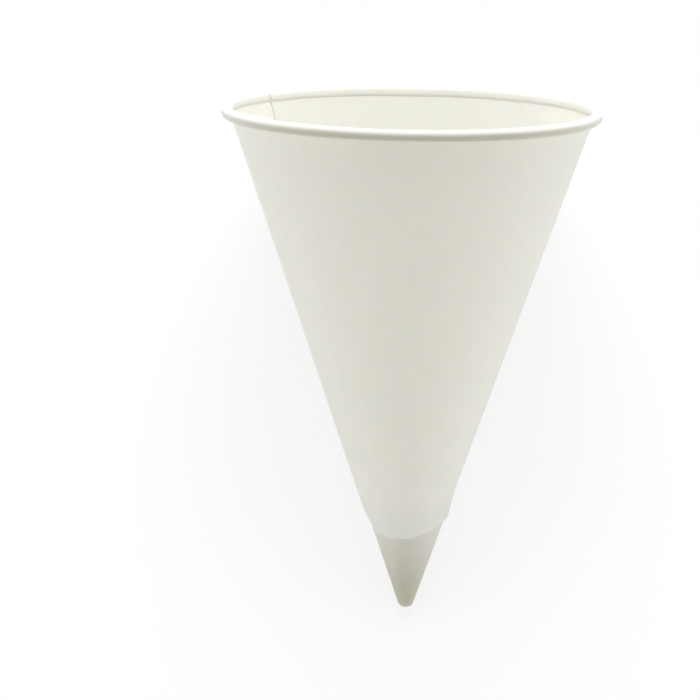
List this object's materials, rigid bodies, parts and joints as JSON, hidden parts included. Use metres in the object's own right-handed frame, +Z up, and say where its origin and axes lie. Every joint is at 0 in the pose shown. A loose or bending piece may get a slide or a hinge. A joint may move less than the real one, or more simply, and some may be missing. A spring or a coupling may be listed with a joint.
{
  "type": "cone paper cup",
  "caption": "Plain white paper drinking cup, rolled into a cone with a glued lap, a rolled rim and a closed pointed tip. It lies on its side.",
  "frame": {"origin": "middle of the cup's outline on the floor it lies on", "axes": "+Z up, +X level, from the tip towards the mouth; the cup's own axis rises towards +X"},
  "size_m": [0.1033, 0.0732, 0.0681],
  "materials": {
    "white_paper": "uncoated matt paper, off-white"
  },
  "bodies": {
    "root": {"cone_cup": "white_paper"}
  },
  "joints": []
}
